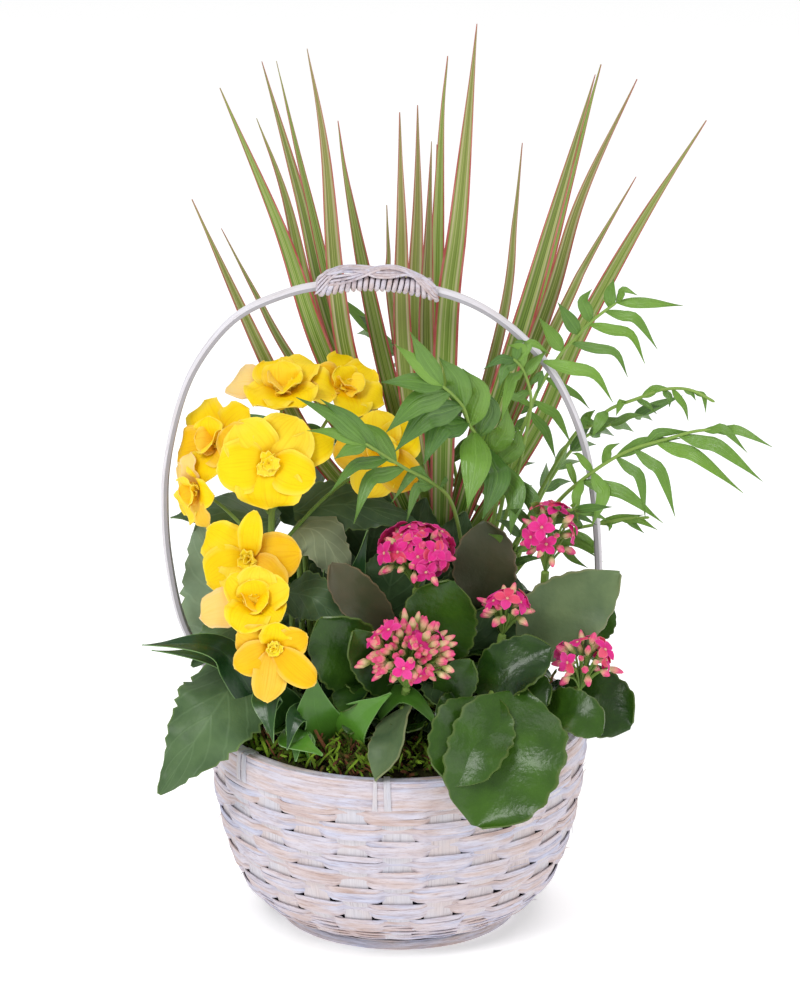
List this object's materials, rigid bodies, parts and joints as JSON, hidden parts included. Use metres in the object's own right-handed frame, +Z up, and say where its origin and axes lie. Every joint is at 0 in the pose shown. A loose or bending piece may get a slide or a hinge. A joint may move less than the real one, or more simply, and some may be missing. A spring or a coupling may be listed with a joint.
{
  "type": "planted flower basket",
  "caption": "Woven splint basket with a fixed hoop handle, filled with moss and planted with begonia, kalanchoe, dracaena and palm.",
  "frame": {"origin": "centre of the flat underside of the basket, on the surface it stands on", "axes": "+Z up, the hoop handle stands in the XZ plane, the front with the trailing leaves faces -Y"},
  "size_m": [0.3991, 0.2832, 0.549],
  "materials": {
    "whitewashed_splint": "matte",
    "whitewashed_cane": "matte",
    "liner": "matte",
    "soil": "matte",
    "moss": "matte",
    "dracaena_bark": "matte",
    "dracaena_blade": "satin",
    "palm_leaf": "satin",
    "begonia_petal": "satin",
    "begonia_leaf": "satin",
    "kalanchoe_petal": "satin",
    "kalanchoe_leaf": "satin",
    "compact_leaf": "gloss"
  },
  "bodies": {
    "root": {"basket_bowl": "whitewashed_splint", "begonia_flower_1": "begonia_petal", "begonia_flower_2": "begonia_petal", "begonia_flower_3": "begonia_petal", "begonia_flower_4": "begonia_petal", "begonia_flower_5": "begonia_petal", "begonia_flower_6": "begonia_petal", "begonia_flower_7": "begonia_petal", "begonia_flower_8": "begonia_petal", "begonia_flower_9": "begonia_petal", "begonia_leaf_1": "begonia_leaf", "begonia_leaf_2": "begonia_leaf", "begonia_leaf_3": "begonia_leaf", "begonia_stem": "begonia_leaf", "compact_dracaena_1": "compact_leaf", "compact_dracaena_2": "compact_leaf", "dracaena_cane": "dracaena_bark", "dracaena_leaf_01": "dracaena_blade", "dracaena_leaf_02": "dracaena_blade", "dracaena_leaf_03": "dracaena_blade", "dracaena_leaf_04": "dracaena_blade", "dracaena_leaf_05": "dracaena_blade", "dracaena_leaf_06": "dracaena_blade", "dracaena_leaf_07": "dracaena_blade", "dracaena_leaf_08": "dracaena_blade", "dracaena_leaf_09": "dracaena_blade", "dracaena_leaf_10": "dracaena_blade", "dracaena_leaf_11": "dracaena_blade", "dracaena_leaf_12": "dracaena_blade", "dracaena_leaf_13": "dracaena_blade", "dracaena_leaf_14": "dracaena_blade", "dracaena_leaf_15": "dracaena_blade", "dracaena_leaf_16": "dracaena_blade", "dracaena_leaf_17": "dracaena_blade", "foot_hoop": "whitewashed_splint", "handle_grip_braid": "whitewashed_cane", "handle_grip_wrap": "whitewashed_cane", "handle_hoop": "whitewashed_splint", "kalanchoe_head_1": "kalanchoe_petal", "kalanchoe_head_2": "kalanchoe_petal", "kalanchoe_head_3": "kalanchoe_petal", "kalanchoe_head_4": "kalanchoe_petal", "kalanchoe_head_5": "kalanchoe_petal", "kalanchoe_stem_1": "kalanchoe_leaf", "kalanchoe_stem_2": "kalanchoe_leaf", "kalanchoe_stem_3": "kalanchoe_leaf", "kalanchoe_stem_4": "kalanchoe_leaf", "kalanchoe_stem_5": "kalanchoe_leaf", "moss_top": "moss", "palm_frond_1": "palm_leaf", "palm_frond_2": "palm_leaf", "palm_frond_3": "palm_leaf", "palm_frond_4": "palm_leaf", "palm_frond_5": "palm_leaf", "palm_frond_6": "palm_leaf", "palm_frond_7": "palm_leaf", "pot_liner": "liner", "potting_soil": "soil", "rim_band": "whitewashed_splint", "rim_inner_hoop": "whitewashed_cane"}
  },
  "joints": []
}
